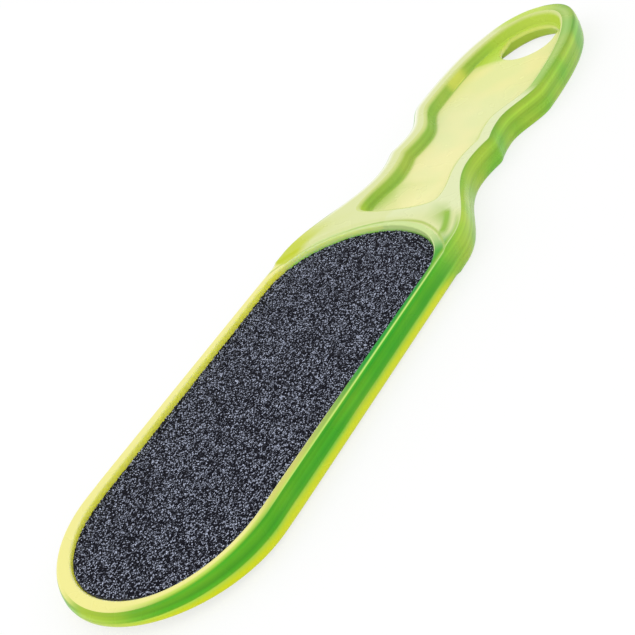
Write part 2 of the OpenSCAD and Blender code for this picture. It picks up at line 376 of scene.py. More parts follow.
def rim_height(points):
    """Height of the rim above the parting line at plan points."""
    toe_share = np.clip((TOE_DIP_LEN - points[:, 0]) / (TOE_DIP_LEN - EDGE_BULGE), 0, 1)
    return (HALF_PADDLE_T - (HALF_PADDLE_T - HALF_TOE_T) * toe_share**2
            + (HALF_T - HALF_PADDLE_T) * smooth(0, STEP_RUN, past_step(points)))


def inside(points, outline):
    """Which plan points lie inside a closed outline."""
    x, y = points[:, 0], points[:, 1]
    hit = np.zeros(len(points), bool)
    for a, b in zip(outline, np.roll(outline, -1, axis=0)):
        crosses = (a[1] > y) != (b[1] > y)
        if crosses.any():
            at = a[0] + (b[0] - a[0]) * (y - a[1]) / (b[1] - a[1] if b[1] != a[1] else 1)
            hit ^= crosses & (x < at)
    return hit


def distance_to(points, outline):
    """Distance of plan points from a closed outline."""
    after = np.roll(outline, -1, axis=0)
    run = after - outline
    squares = (run**2).sum(axis=1)
    least = np.full(len(points), np.inf)
    for start, step, square in zip(outline, run, squares):
        away = points - start
        t = np.clip(away @ step / square, 0, 1)
        least = np.minimum(least, np.hypot(*(away - t[:, None] * step).T))
    return least


# Zones of the body, which differ in their shades
EDGE, LAND, POCKET, RECESS, WEB, OPENING = range(6)

# How much light each zone pipes through to its face, and how uneven its colour is
ZONE_LIGHT = {EDGE: 0, LAND: 0, POCKET: 1, RECESS: 0, WEB: 0, OPENING: 0.5}
ZONE_UNEVENNESS = {EDGE: 1, LAND: 0.5, POCKET: 0, RECESS: 0.6, WEB: 0.2, OPENING: 0}

SCREEN_GAMMA = 2.2


def colour(red, green, blue):
    """Linear colour of a screen colour given in 0 to 255."""
    return np.array([(c / 255) ** SCREEN_GAMMA for c in (red, green, blue)])


def blend(one, other, share):
    """Mix of two colours, or of two rows of colours, point by point."""
    share = np.asarray(share)[:, None]
    return one * (1 - share) + other * share


def ramp(value, stops):
    """Colours along a row of stops, each a value and a colour."""
    places = [place for place, _ in stops]
    shades = np.array([shade for _, shade in stops])
    return np.column_stack([np.interp(value, places, column) for column in shades.T])


# Colours of the moulding: deep green where light has come far through it, yellow where it is thin
# They hold painted light and shade too, since light through the plastic is not traced: the left
# side painted paler, the right side deeper green, with painted highlights on the crests and a
# painted glow low on the edge and in the pocket
CREAM = colour(242, 236, 146)
PALE = colour(222, 228, 163)
CREST_PALE = colour(205, 225, 150)
WEB_CREAM = colour(243, 240, 172)
WEB_STRAW = colour(240, 237, 156)
STRAW = colour(208, 207, 105)
# Painted highlight along the crest of the right side
CREST_HIGHLIGHT = colour(200, 232, 118)
SHOULDER_YELLOW = colour(200, 212, 62)
NECK_PALE = colour(228, 236, 188)
WALL_PALE = colour(226, 255, 164)
WALL_GREEN = colour(130, 226, 76)
# Painted glow on the front and left of the pocket wall, lit up against the shade beside the pad
GLOW_YELLOW = colour(255, 255, 112)
# Painted glow of light shone through the plastic, on the lower band of the outer edge
GLOW_GOLD = colour(218, 226, 30)
OLIVE = colour(172, 196, 92)
LIME = colour(166, 208, 72)
LIGHT_LIME = colour(196, 221, 88)
TOE_LIME = colour(160, 197, 56)
LEAF = colour(120, 177, 34)
GREEN = colour(98, 173, 38)
DEEP_GREEN = colour(76, 166, 36)
# Painted shade, on the right wall, flats and pocket
SHADED_GREEN = colour(28, 152, 42)
HANDLE_GREEN = colour(146, 190, 62)
HANDLE_LIME = colour(162, 199, 68)
# Painted highlight, nearly white, along the left crest of the handle
HANDLE_CREST_HIGHLIGHT = colour(248, 250, 232)
PALM_PALE = colour(178, 212, 108)
RECESS_LIME = colour(175, 206, 88)
RECESS_YELLOW = colour(221, 229, 106)
RECESS_TOP = colour(212, 222, 138)
LIP_LIME = colour(196, 222, 84)
LIP_PALE = colour(240, 248, 140)

# Shades up the outer edge, by its mesh rows, which crowd towards the crest: -1 is the lower crest,
# 0 the parting line and 1 the upper crest
# The right wall holds painted shade in its darker green bands, the left wall a paler top as
# painted light, and both a painted glow low down
RIGHT_WALL = [
    (-0.42, GLOW_GOLD), (-0.18, LIME), (-0.06, LEAF), (0.05, GREEN), (0.3, DEEP_GREEN),
    (0.5, GREEN), (0.82, DEEP_GREEN), (0.88, LIME), (0.92, CREST_HIGHLIGHT),
]
TOE_RIGHT_WALL = RIGHT_WALL[:-2] + [(1, LEAF)]
TOE_WALL = [(-0.5, LIGHT_LIME), (0, TOE_LIME), (1, TOE_LIME)]
LEFT_WALL = [(-0.4, GLOW_GOLD), (0, LEAF), (0.4, GREEN), (0.62, CREAM)]
HANDLE_WALL = [
    (-0.5, HANDLE_LIME), (-0.1, HANDLE_GREEN), (0.1, HANDLE_GREEN), (0.5, HANDLE_LIME),
    (0.8, HANDLE_GREEN), (0.95, HANDLE_GREEN), (1, LIME),
]

# Shades across the flats of the right side, by the distance from the crest of the edge
# Further back they turn deep and dark green, which is painted shade, paler by the crest as a
# painted highlight
RIGHT_LAND_FRONT = [(0, LIGHT_LIME), (0.25, LIGHT_LIME), (0.8, STRAW)]
RIGHT_LAND_TOE = [(0, LEAF), (0.4, LIME), (1, LIGHT_LIME), (1.6, CREAM)]
RIGHT_LAND_BACK = [(0, CREST_HIGHLIGHT), (0.15, CREST_HIGHLIGHT), (0.4, GREEN), (0.55, SHADED_GREEN)]
RIGHT_LAND_HEEL = [(0, CREST_PALE), (0.3, LIME), (0.9, LEAF), (1.6, DEEP_GREEN)]
RIGHT_PALM = [(0, HANDLE_GREEN), (1.7, PALM_PALE), (3.4, HANDLE_GREEN)]

# Shades down the pocket wall, by the share of its depth
# The front and left are a painted glow, the heel painted pale against the shade beside the pad,
# and the right side dark green as painted shade
POCKET_FRONT = [(0, CREAM), (0.3, GLOW_YELLOW), (0.95, GLOW_YELLOW)]
POCKET_RIGHT = [(0, SHADED_GREEN), (1, GREEN)]
POCKET_HEEL = [(0, CREST_PALE), (0.2, WALL_PALE), (0.6, WALL_PALE), (0.85, WALL_GREEN)]

# Runs along the body over which a shade gives way to the next: where it starts and where it ends
TOE_RUN = (TOE_LEN + 8, TOE_LEN - 8)
LAND_BACK_RUN = (38, 78)
LAND_HEEL_RUN = (102, 114)
POCKET_RIGHT_RUN = (42, 80)
POCKET_HEEL_RUN = (112, 120)
HANDLE_EDGE_RUN = (104, 122)
NECK_LAND_RUN = (116, 126)
HANDLE_LAND_RUN = (124, 134)
BEND_START_RUN = (116, 117.5)
BEND_END_RUN = (124, 138)
LEFT_CREST_RUN = (130, 142)
PALM_RUN = (184, 192)
TIP_RUN = (226, 234)
RECESS_CORNER_RUN = (139, 144)
RECESS_TIP_RUN = (214, 226)
WEB_FOOT_RUN = (165, 205)
WEB_STRAW_RUN = (185, 205)
WEB_LIP_RUN = (212, 214)

# The same from one place to another, with a soft length at both ends
DARK_LINE_SPAN = (62, 95, 18)
NECK_EDGE_SPAN = (127, 136, 6)
CREST_SPAN = (116, 165, 6)
NECK_SPAN = (136, 186, 6)
RIGHT_BEND_SPAN = (125, 132, 3.5)
RIGHT_BEND_INWARD_SPAN = (3.2, 4.6, 1)
RECESS_YELLOW_SPAN = (203, 207, 4)

# Runs across the body, counted from the centre line to the left, or from it to both sides
LEFT_SIDE_RUN = (0, 2)
TIP_SIDE_RUN = (-10, 2)
WEB_LIP_SIDE_RUN = (3, 6)
LEDGE_SIDE_RUN = (18, 26)

# Runs inwards from the crest of the edge
NECK_INWARD_RUN = (0, 2)
BEND_INWARD_RUN = (3.6, 6.4)
LEFT_CREST_INWARD_RUN = (0, 0.9)

# Runs up the mesh rows of the outer edge
LEFT_TOP_ROWS = (0.7, 0.9)
BEND_ROWS = (0.5, 0.75)
CREST_ROWS = (0.97, 1)
DARK_LINE_ROW = 0.64
DARK_LINE_HALF_WIDTH = 0.13

# Shares of the height of the recess wall and of the wall of the opening
RECESS_TOP_SHARES = (0.7, 1)
LIP_SHARES = (0.5, 0.9)

# How strong the shades are that do not cover what is under them
DARK_LINE_STRENGTH = 0.7
NECK_STRENGTH = 0.7

# The ledge before the foot of the step, and the shade along that foot, which lies further up the
# step on the right
LEDGE_RUN = (-4, -2)
FOOT_LINE = -0.2
FOOT_LINE_LEAN = 0.06
FOOT_LINE_HALF_LENGTH = 14
FOOT_LINE_HALF_WIDTH = 0.5

# Turns round the toe in degrees, from the right side to the left
TOE_WALL_TURN = (-35, 5)
LEFT_WALL_TURN = (8, 35)
LEFT_LAND_TURN = (-40, 0)

# How far the shades at the foot of the recess wall reach over the web: the right one, and the
# left one by the place along the handle, which stays full over a share of its reach
RIGHT_FOOT_REACH = 1.5
LEFT_FOOT_PLACES = (150, 172, 190)
LEFT_FOOT_REACHES = (2.3, 1.7, 1.1)
LEFT_FOOT_FULL_SHARE = 0.2

# Run of a colour's red share over which the moulding grows even
EVEN_RED_RUN = (0.4, 0.62)


def left_bend_at(x, y):
    """Where along the body the bend of the left shoulder lies."""
    return smooth(*BEND_START_RUN, x) * (1 - smooth(*BEND_END_RUN, x)) * (y > 0)


def edge_shades(x, y, row, turn):
    """Colour of the outer edge by its row, with turn in degrees round the toe."""
    out = blend(ramp(row, RIGHT_WALL), ramp(row, TOE_RIGHT_WALL), smooth(*TOE_RUN, x))
    out = blend(out, ramp(row, TOE_WALL), smooth(*TOE_WALL_TURN, turn))
    out = blend(out, ramp(row, LEFT_WALL), smooth(*LEFT_WALL_TURN, turn))
    # A painted dark stripe of shade along the right wall
    painted_shade_line = line_at(row, DARK_LINE_ROW, DARK_LINE_HALF_WIDTH)
    painted_shade_line = painted_shade_line * span(x, *DARK_LINE_SPAN) * (y < 0)
    out = blend(out, SHADED_GREEN, DARK_LINE_STRENGTH * painted_shade_line)
    # A painted highlight on the top of the left edge of the handle
    left_top_highlight = smooth(*LEFT_SIDE_RUN, y) * smooth(*LEFT_TOP_ROWS, row)
    handle = blend(ramp(row, HANDLE_WALL), HANDLE_CREST_HIGHLIGHT, left_top_highlight)
    handle = blend(handle, HANDLE_LIME, span(x, *NECK_EDGE_SPAN) * (row < CREST_ROWS[0]))
    out = blend(out, handle, smooth(*HANDLE_EDGE_RUN, x))
    out = blend(out, SHOULDER_YELLOW, left_bend_at(x, y) * smooth(*BEND_ROWS, row))
    # A painted highlight along the upper crest, from the shoulders to the grip
    return blend(out, CREST_PALE, smooth(*CREST_ROWS, row) * span(x, *CREST_SPAN))


def land_shades(x, y, inward, turn, past):
    """Colour of the flat faces, with inward the distance from the crest of the edge."""
    right = ramp(inward, RIGHT_LAND_FRONT)
    right = blend(right, ramp(inward, RIGHT_LAND_BACK), smooth(*LAND_BACK_RUN, x))
    right = blend(right, ramp(inward, RIGHT_LAND_HEEL), smooth(*LAND_HEEL_RUN, x))
    right = blend(right, ramp(inward, RIGHT_LAND_TOE), smooth(*TOE_RUN, x))
    # The left side is painted pale cream as painted light
    out = blend(right, CREAM, smooth(*LEFT_LAND_TURN, turn))
    # The ledge behind the pad, and the flat of the neck past it
    ledge = smooth(*LEDGE_RUN, past) * (1 - smooth(*LEDGE_SIDE_RUN, np.abs(y)))
    out = blend(out, CREST_PALE, ledge)
    neck = smooth(*NECK_LAND_RUN, x) * smooth(*NECK_INWARD_RUN, inward)
    neck = np.maximum(neck, smooth(*HANDLE_LAND_RUN, x))
    out = blend(out, PALE, neck * (1 - ledge * (past < 0)))
    # The thin shade along the foot of the step
    along_foot = np.clip(y, -FOOT_LINE_HALF_LENGTH, FOOT_LINE_HALF_LENGTH)
    foot = FOOT_LINE - FOOT_LINE_LEAN * along_foot
    out = blend(out, OLIVE, line_at(past, foot, FOOT_LINE_HALF_WIDTH))
    # The bend of the left shoulder, the two sides of the neck and the bend of the right shoulder
    left_bend = left_bend_at(x, y) * (1 - smooth(*BEND_INWARD_RUN, inward))
    out = blend(out, SHOULDER_YELLOW, left_bend)
    out = blend(out, NECK_PALE, NECK_STRENGTH * (span(x, *NECK_SPAN) * (y < 0)))
    # A painted highlight along the left crest of the handle
    left_crest_highlight = smooth(*LEFT_CREST_RUN, x) * (y > 0)
    left_crest_highlight = left_crest_highlight * (1 - smooth(*LEFT_CREST_INWARD_RUN, inward))
    out = blend(out, HANDLE_CREST_HIGHLIGHT, left_crest_highlight)
    right_bend = span(x, *RIGHT_BEND_SPAN) * (y < 0) * span(inward, *RIGHT_BEND_INWARD_SPAN)
    out = blend(out, HANDLE_GREEN, right_bend)
    # The right side of the palm, and the tip
    out = blend(out, ramp(inward, RIGHT_PALM), smooth(*PALM_RUN, x) * (y < 0))
    return blend(out, LIGHT_LIME, smooth(*TIP_RUN, x) * smooth(*TIP_SIDE_RUN, y))


def pocket_shades(x, down, right_side):
    """Colour of the pocket wall, with down the share of its depth."""
    out = blend(ramp(down, POCKET_FRONT), ramp(down, POCKET_RIGHT), right_side)
    return blend(out, ramp(down, POCKET_HEEL), smooth(*POCKET_HEEL_RUN, x))


def recess_shades(x, up):
    """Colour of the recess wall, with up the share of its height."""
    out = blend(RECESS_LIME, RECESS_YELLOW, span(x, *RECESS_YELLOW_SPAN))
    out = blend(out, LIP_LIME, smooth(*RECESS_TIP_RUN, x))
    out = blend(out, LIP_LIME, 1 - smooth(*RECESS_CORNER_RUN, x))
    return blend(out, RECESS_TOP, smooth(*RECESS_TOP_SHARES, up))


def web_shades(x, y, from_wall):
    """Colour of the web, with the distance from the foot of the recess wall."""
    middle = blend(WEB_CREAM, WEB_STRAW, smooth(*WEB_STRAW_RUN, x))
    right_foot = blend(PALE, OLIVE, smooth(*WEB_FOOT_RUN, x))
    out = blend(right_foot, middle, smooth(0, RIGHT_FOOT_REACH, from_wall))
    reach = np.interp(x, LEFT_FOOT_PLACES, LEFT_FOOT_REACHES)
    left_foot = (1 - smooth(LEFT_FOOT_FULL_SHARE * reach, reach, from_wall)) * (y > 0)
    out = blend(out, RECESS_LIME, left_foot)
    return blend(out, LIP_LIME, smooth(*WEB_LIP_RUN, x) * smooth(*WEB_LIP_SIDE_RUN, y))


def opening_shades(z):
    """Colour of the wall of the opening by its height, painted paler low down and lime on its
    rounded lip, to even out the shade on the wall against the light on the lip.
    """
    return blend(LIP_PALE, LIP_LIME, smooth(*LIP_SHARES, np.abs(z) / HALF_WEB_T))


def body_shades(points, zones, rows):
    """Colour of the moulding by place, painted light and shade among it, how much light it pipes
    and how uneven it is.
    """
    x, y, z = points.T
    plan = points[:, :2]
    turn = np.degrees(np.arctan2(y, np.maximum(TOE_LEN - x, 0)))
    inward, from_wall = np.zeros(len(points)), np.zeros(len(points))
    land, web = zones == LAND, zones == WEB
    inward[land] = distance_to(plan[land], crest)
    from_wall[web] = distance_to(plan[web], recess_ring(WALL_DRAFT))
    rim = rim_height(plan)
    right_side = (y < 0) * smooth(*POCKET_RIGHT_RUN, x)
    shades = {
        EDGE: edge_shades(x, y, np.where(z < 0, -rows, rows), turn),
        LAND: land_shades(x, y, inward, turn, past_step(plan)),
        POCKET: pocket_shades(x, (rim - np.abs(z)) / (rim - POCKET_FLOOR), right_side),
        RECESS: recess_shades(x, (np.abs(z) - HALF_WEB_T) / (HALF_T - HALF_WEB_T)),
        WEB: web_shades(x, y, from_wall),
        OPENING: opening_shades(z),
    }
    tint_with_painted_light = np.ones((len(points), 4))
    light, unevenness = np.zeros(len(points)), np.zeros(len(points))
    for zone, shade in shades.items():
        here = zones == zone
        tint_with_painted_light[here, :3] = shade[here]
        light[here] = ZONE_LIGHT[zone]
        unevenness[here] = ZONE_UNEVENNESS[zone]
    light *= 1 - right_side
    unevenness[~web] *= 1 - smooth(*EVEN_RED_RUN, tint_with_painted_light[~web, 0])
    return tint_with_painted_light, light, unevenness


class Skin:
    """Gathers rings and faces of one mesh in millimetres."""

    def __init__(self):
        self.points = []
        self.marks = []
        self.faces = []

    def add(self, plan, height, zone, row):
        """Adds points and gives the number of the first one."""
        start = len(self.points)
        height = np.broadcast_to(height, len(plan))
        self.points += [(p[0], p[1], z) for p, z in zip(plan, height)]
        self.marks += [(zone, row)] * len(plan)
        return start

    def loft(self, zone, rings):
        """Walls through closed rings of equal length, each (plan points, height)."""
        count = len(rings[0][0])
        starts = [
            self.add(plan, height, zone, n / (len(rings) - 1))
            for n, (plan, height) in enumerate(rings)
        ]
        for a, b in zip(starts, starts[1:]):
            for i in range(count):
                j = (i + 1) % count
                self.faces.append((a + i, a + j, b + j, b + i))

    def fill(self, zone, outer, holes, lines, height):
        """Flat or gently shaped surface inside an outline, round holes and through lines."""
        plan, edges = [], []
        loops = [(loop, True) for loop in [outer] + holes]
        loops += [(line, False) for line in lines]
        for loop, closed in loops:
            first = len(plan)
            plan += [Vector(p) for p in loop]
            edges += [(first + i, first + i + 1) for i in range(len(loop) - 1)]
            if closed:
                edges.append((first + len(loop) - 1, first))
        found = delaunay_2d_cdt(plan, edges, [], FILL_INSIDE, FILL_TOLERANCE)
        spots = np.array([tuple(v) for v in found[0]])
        triangles = np.array(found[2])
        middles = spots[triangles].mean(axis=1)
        keep = inside(middles, outer)
        for hole in holes:
            keep &= ~inside(middles, hole)
        start = self.add(spots, height(spots), zone, 0)
        self.faces += [tuple(int(start + v) for v in face) for face in triangles[keep]]

    def mirrored_below(self):
        """Adds the mirror image of all that is above the parting line."""
        count = len(self.points)
        self.points += [(x, y, -z) for x, y, z in self.points]
        self.marks += self.marks
        self.faces += [tuple(count + v for v in reversed(face)) for face in self.faces]

    def mesh(self, name):
        """Closed mesh of all faces in metres, with its colours, painted light and shade among
        them, on the corners of the faces.
        """
        made = bpy.data.meshes.new(name)
        points = np.array(self.points)
        spots = (points + np.array(ORIGIN)) * MM
        made.from_pydata(spots.tolist(), [], self.faces)
        marks = np.array(self.marks)
        shades, light, unevenness = body_shades(points, marks[:, 0], marks[:, 1])
        corners = np.zeros(len(made.loops), dtype=np.int32)
        made.loops.foreach_get("vertex_index", corners)
        tint_with_painted_light = made.attributes.new("tint_with_painted_light", "FLOAT_COLOR", "CORNER")
        tint_with_painted_light.data.foreach_set("color", shades[corners].ravel())
        for label, values in (("piped", light), ("uneven", unevenness)):
            layer = made.attributes.new(label, "FLOAT", "CORNER")
            layer.data.foreach_set("value", values[corners])
        shape = bmesh.new()
        shape.from_mesh(made)
        bmesh.ops.remove_doubles(shape, verts=shape.verts, dist=MERGE_DISTANCE * MM)
        bmesh.ops.recalc_face_normals(shape, faces=shape.faces)
        shape.to_mesh(made)
        shape.free()
        return made


def level(height):
    """Height function of a flat face."""
    return lambda plan: np.full(len(plan), height)


def quarter_round(radius, steps):
    """Rows of a rounded upper edge, each as (distance drawn in, drop)."""
    turns = [math.pi / 2 * step / steps for step in range(steps + 1)]
    return [(radius * math.sin(turn), radius * (1 - math.cos(turn))) for turn in turns]


def corner(before, at, after, reach):
    """Points of a rounded corner between two straight runs of a profile."""
    before, at, after = Vector(before), Vector(at), Vector(after)
    start = at + (before - at).normalized() * reach
    end = at + (after - at).normalized() * reach
    out = []
    for i in range(CORNER_STEPS + 1):
        t = i / CORNER_STEPS
        out.append(start * (1 - t) ** 2 + at * 2 * t * (1 - t) + end * t**2)
    return out


def add_edge(skin):
    """Rounded outer edge from the parting line, with its seam, up to the flat of the rim."""
    rim = rim_height(crest)
    shares = [(up, 1 - rounded(up, EDGE_FULLNESS)) for up in EDGE_LOW_ROWS]
    shares += [(rounded(rest, EDGE_FULLNESS), 1 - rest) for rest in EDGE_HIGH_ROWS]
    rings = []
    for up, back in shares:
        seam = SEAM_HEIGHT * max(0, 1 - up * HALF_PADDLE_T / SEAM_HALF_WIDTH) * (1 - back)
        by = EDGE_BULGE * back + SEAM_HEIGHT * (1 - back) - seam
        rings.append((body_ring(by), up * rim))
    skin.loft(EDGE, rings)


def add_pocket(skin):
    """Pocket wall from its rounded upper edge down to the floor, and the floor."""
    top = rim_height(pad_ring(PAD_GAP + POCKET_ROUND))
    rings = [
        (pad_ring(PAD_GAP + POCKET_ROUND - by), top - drop)
        for by, drop in quarter_round(POCKET_ROUND, POCKET_ROUND_STEPS)
    ]
    upper = top - POCKET_ROUND
    for share in POCKET_WALL_ROWS:
        rings.append((pad_ring(PAD_GAP), upper + (POCKET_FLOOR - upper) * share))
    skin.loft(POCKET, rings)
    skin.fill(POCKET, pad_ring(PAD_GAP), [], [], level(POCKET_FLOOR))


def recess_profile():
    """Profile of the recess wall as (distance drawn in, height), rounded into both flats."""
    land = (-PROFILE_RUN, HALF_T)
    top = (0, HALF_T)
    foot = (WALL_DRAFT, HALF_WEB_T)
    web = (WALL_DRAFT + PROFILE_RUN, HALF_WEB_T)
    return corner(land, top, foot, RECESS_ROUND) + corner(top, foot, web, WEB_ROUND)


def window_outline():
    """Outline of the opening: a round end in the web, then along the inside of the tip."""
    ring = recess_ring(WALL_DRAFT + WINDOW_LIP)
    right = ring[: len(recess_x)]
    right = right[right[:, 0] > PALM_X]
    right = right[np.argsort(right[:, 0])]
    start = right[-1, 0] - WINDOW_LEN
    middle = start + WINDOW_R
    meet = np.interp(WINDOW_R, -right[::-1, 1], right[::-1, 0])
    front_x = front_stations(start, WINDOW_R, WINDOW_END_STEPS)
    side_x = even_stations(middle, meet, WINDOW_SIDE_STEPS)
    rest = right[right[:, 0] >= meet]
    x = np.concatenate([front_x, side_x, [meet], rest[:, 0]])
    half = np.concatenate([
        WINDOW_R * rounded((middle - front_x) / WINDOW_R, 2),
        np.full(len(side_x) + 1, WINDOW_R),
        -rest[:, 1],
    ])
    return mirrored(x, half)


def inset(outline, by):
    """Outline moved inwards along its own normals."""
    ahead = np.roll(outline, -1, axis=0) - np.roll(outline, 1, axis=0)
    ahead /= np.linalg.norm(ahead, axis=1)[:, None]
    normal = np.column_stack([-ahead[:, 1], ahead[:, 0]])
    return outline + by * normal


def add_recess(skin):
    """Recess wall, web and the wall of the opening."""
    profile = recess_profile()
    skin.loft(RECESS, [(recess_ring(p.x), p.y) for p in profile])
    foot = profile[-1].x
    window = window_outline()
    lines = [recess_ring(foot + by) for by in WEB_LINES]
    lines = [line[~inside(line, window)] for line in lines]
    skin.fill(WEB, recess_ring(foot), [window], lines, level(HALF_WEB_T))
    rings = [
        (inset(window, by), HALF_WEB_T - drop)
        for by, drop in quarter_round(WINDOW_ROUND, WINDOW_ROUND_STEPS)
    ]
    rings.append((inset(window, WINDOW_ROUND), 0))
    skin.loft(OPENING, rings)


def step_lines():
    """Lines along the step, which carry its smooth slope across the body."""
    turns = np.linspace(-STEP_LINE_TURN, STEP_LINE_TURN, STEP_LINE_POINTS)
    lines = []
    for share in STEP_LINES:
        radius = step_r + STEP_RUN * share
        line = np.column_stack([step_centre + radius * np.cos(turns), radius * np.sin(turns)])
        edge = np.interp(line[:, 0], crest_right[:, 0], -crest_right[:, 1])
        lines.append(line[np.abs(line[:, 1]) < edge - STEP_LINE_MARGIN])
    return lines


def land_lines():
    """Lines along the flat beside the pocket, which carry its stripes."""
    edge = PAD_GAP + POCKET_ROUND
    room = SIDE_RIM - POCKET_ROUND
    within = body_ring(EDGE_BULGE + LAND_LINE_MARGIN)
    lines = []
    for share in LAND_LINES:
        line = pad_ring(edge + room * share)
        lines.append(line[inside(line, within) & (line[:, 0] < LAND_LINES_TO)])
    return lines


def handle_lines():
    """Lines along the flat of the handle, which carry the shades of its bends."""
    pocket = pad_ring(PAD_GAP + POCKET_ROUND + HANDLE_LINE_MARGIN)
    ends = [(by, LENGTH) for by in HANDLE_LINES]
    ends += [(by, SHOULDER_LINES_TO) for by in SHOULDER_LINES]
    lines = []
    for by, end in ends:
        line = body_ring(EDGE_BULGE + by)
        in_reach = (line[:, 0] > LAND_LINES_TO) & (line[:, 0] < end)
        line = line[in_reach & ~inside(line, pocket)]
        lines += [line[line[:, 1] < 0], line[line[:, 1] > 0]]
    return lines


def add_land(skin):
    """Front face of the body between its edge, the pocket and the recess."""
    pocket = pad_ring(PAD_GAP + POCKET_ROUND)
    recess = recess_ring(recess_profile()[0].x)
    lines = step_lines() + land_lines() + handle_lines()
    skin.fill(LAND, crest, [pocket, recess], lines, rim_height)


def build_body():
    """Skin of the moulding, with both of its faces."""
    skin = Skin()
    add_edge(skin)
    add_pocket(skin)
    add_recess(skin)
    add_land(skin)
    skin.mirrored_below()
    mesh = skin.mesh("body_shell")
    body = bpy.data.objects.new("body_shell", mesh)
    bpy.context.collection.objects.link(body)
    for face in mesh.polygons:
        face.use_smooth = True
    weighted = body.modifiers.new("weighted", "WEIGHTED_NORMAL")
    weighted.keep_sharp = True
    weighted.weight = NORMAL_WEIGHT
    return body


def grain_net(columns, rows):
    """Triangles of a staggered net of points that are numbered column by column."""
    a = np.arange(columns - 1)[:, None]
    b = np.arange(rows - 1)[None, :]
    even = (b % 2) == 0
    near, near_next = a * rows + b, (a + 1) * rows + b
    far, far_next = near + 1, near_next + 1
    one = np.stack([near, near_next, np.where(even, far, far_next)], -1)
    other = np.stack([np.where(even, near_next, near), far_next, far], -1)
    return np.vstack([one.reshape(-1, 3), other.reshape(-1, 3)])


def build_grit(name, low, high, pitch, side, seed):
    """Sheet of grains with crystal facets and a ragged edge, on the face that side points to."""
    rng = np.random.default_rng(seed)
    depth = high.z - low.z
    columns = int((PAD_HEEL_X - PAD_TOE_X + 2 * pitch) / pitch)
    row_step = pitch * math.sqrt(3) / 2
    rows = int((2 * PAD_HALF_W + 2 * pitch) / row_step)
    i, j = np.meshgrid(np.arange(columns), np.arange(rows), indexing="ij")
    x = PAD_TOE_X - pitch / 2 + pitch * (i + 0.5 * (j % 2))
    y = -PAD_HALF_W - pitch / 2 + row_step * j
    x = x + rng.uniform(-GRAIN_SCATTER, GRAIN_SCATTER, x.shape) * pitch
    y = y + rng.uniform(-GRAIN_SCATTER, GRAIN_SCATTER, y.shape) * pitch
    plan = np.column_stack([x.ravel(), y.ravel()])
    held = inside(plan, pad_ring(-GRAIN_MARGIN))
    tall = (1 - GRAIN_LEAST_SHARE) * rng.random(x.shape) ** GRAIN_SKEW
    height = depth * (GRAIN_LEAST_SHARE + tall)

    triangles = grain_net(columns, rows)
    triangles = triangles[held[triangles].all(axis=1)]
    used = np.unique(triangles)
    renumber = np.full(held.size, -1)
    renumber[used] = np.arange(len(used))
    triangles = renumber[triangles]
    top = np.column_stack([plan[used], height.ravel()[used]])

    # A skirt down from the sides of the triangles that have no neighbour
    sides = np.vstack([triangles[:, [0, 1]], triangles[:, [1, 2]], triangles[:, [2, 0]]])
    sides = dict.fromkeys((start, end) for start, end in sides.tolist())
    rim = [(start, end) for start, end in sides if (end, start) not in sides]
    rim_points = sorted({start for start, _ in rim})
    lower = {v: len(used) + n for n, v in enumerate(rim_points)}
    bottom = [(top[v][0], top[v][1], 0) for v in rim_points]
    points = np.vstack([top, np.array(bottom)])
    skirt = [(end, start, lower[start], lower[end]) for start, end in rim]
    faces = triangles.tolist() + skirt
    points[:, 2] = (low.z + points[:, 2]) if side > 0 else (high.z - points[:, 2])
    points[:, 0] += ORIGIN.x
    if side < 0:
        faces = [tuple(reversed(face)) for face in faces]
    mesh = bpy.data.meshes.new(name)
    mesh.from_pydata((points * MM).tolist(), [], faces)
    grit = bpy.data.objects.new(name, mesh)
    bpy.context.collection.objects.link(grit)
    return grit


# Lime plastic. Streaks are stretched along the body, and scales of noise are per metre.
PLASTIC_IOR = 1.49
PLASTIC_GLOSS = 0.12
PLASTIC_CLEARNESS = 0.05
PLASTIC_ROUGHNESS = (0.2, 0.34)
PIPED_RADIUS = (1, 1, 0.4)
PIPED_DEPTH = 4.5
STREAK_SCALES = (12, 30, 900)
STREAK_DETAIL = 2
STREAK_DEPTH = 0.45
CLOUD_SCALE = 75
CLOUD_DETAIL = 1
CLOUD_STOPS = [(0.36, (0.62, 0.94, 0.9)), (0.62, (1.1, 1.02, 1.05))]
HAZE_SCALE = 90
HAZE_DETAIL = 3
DEPTH_COLOUR = (0.72, 0.93, 0.1)
DEPTH_DENSITY = 260

# Grit: dark, with grey blue glints on a quarter of its cells
GRIT_CELL = 0.26
FINE_GRIT_CELL = 0.35
GRIT_STOPS = [
    (0, (0.001, 0.001, 0.005)), (0.75, (0.002, 0.002, 0.008)), (1, (0.52, 0.57, 0.72)),
]
GRIT_ROUGHNESS = 0.6
GRIT_GLOSS = 0.08

# Sheets under the grit
ADHESIVE_COLOUR = (0.55, 0.53, 0.42)
ADHESIVE_FIBRE = 1.5
BACKING_COLOUR = (0.035, 0.035, 0.05)
BACKING_FIBRE = 0.4
SHEET_ROUGHNESS = 0.8
SHEET_DARKER = 0.7
SHEET_LIGHTER = 1.25
SHEET_BUMP = 0.3
SHEET_BUMP_HEIGHT = 0.05

# Sockets of a colour mix node, whose names repeat
MIX_SHARE, MIX_ONE, MIX_OTHER, MIX_OUT = 0, 6, 7, 2


def material(name):
    """New material with its nodes and links and its shader."""
    made = bpy.data.materials.new(name)
    made.use_nodes = True
    nodes, links = made.node_tree.nodes, made.node_tree.links
    return made, nodes, links, nodes["Principled BSDF"]


def add_node(nodes, kind, inputs=None, **settings):
    """New shader node with its settings and the values of its inputs."""
    made = nodes.new("ShaderNode" + kind)
    for key, value in settings.items():
        setattr(made, key, value)
    fill_inputs(made, inputs or {})
    return made


def fill_inputs(node, inputs):
    """Sets the values of a node's inputs."""
    for key, value in inputs.items():
        node.inputs[key].default_value = value


